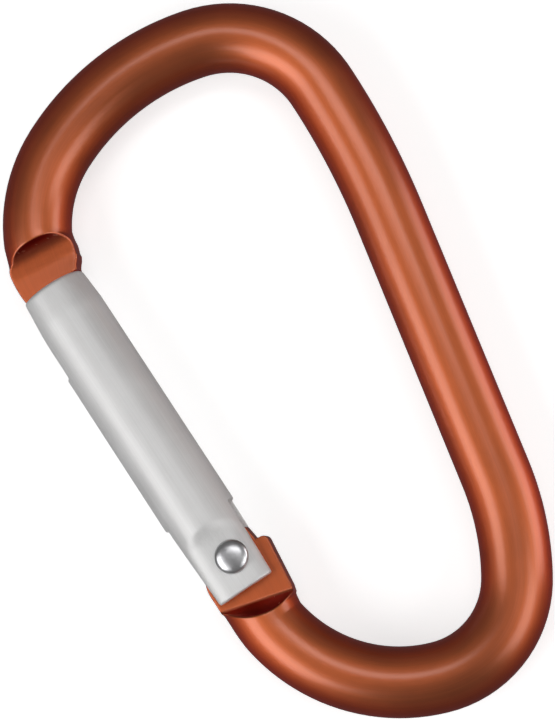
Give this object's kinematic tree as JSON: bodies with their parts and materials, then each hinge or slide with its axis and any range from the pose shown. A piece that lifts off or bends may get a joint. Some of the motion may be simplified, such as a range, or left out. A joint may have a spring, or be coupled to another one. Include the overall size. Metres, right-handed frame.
{
  "type": "snap carabiner",
  "caption": "Small bent-rod snap carabiner with a sprung tubular gate on a rivet hinge, for clipping keys and light gear.",
  "frame": {"origin": "centre of the bounding box in X and Y, at the lowest point of the object lying flat", "axes": "+Z square to the plane of the body; +Y along the gate from its rivet to the wide bow; +X from the gate to the spine"},
  "size_m": [0.0434, 0.0794, 0.0083],
  "materials": {
    "anodised_body": "satin copper-orange anodised aluminium",
    "gate_metal": "satin uncoloured aluminium, finely drawn along its length",
    "rivet_metal": "polished domed steel",
    "plunger_metal": "turned steel",
    "spring_metal": "drawn spring steel wire"
  },
  "bodies": {
    "frame": {"body": "anodised_body"},
    "gate": {"gate": "gate_metal", "hinge_rivet": "rivet_metal", "gate_spring": "spring_metal"},
    "plunger": {"plunger": "plunger_metal"}
  },
  "joints": [
    {"name": "gate_hinge", "type": "hinge", "parent": "frame", "child": "gate", "pos_m": [-0.017, -0.01334, 0.00414], "axis": [0, 0, -1], "range_deg": [0, 35], "stiffness_Nm_per_rad": 0.12, "springref_deg": -34.38},
    {"name": "plunger_slide", "type": "slide", "parent": "gate", "child": "plunger", "axis": [0, 1, 0], "range_m": [0, 0.00068], "deforming": ["gate_spring"]}
  ],
  "couplings": [
    {"joint": "plunger_slide", "follows": "gate_hinge", "m_per_rad": 0.0011}
  ]
}
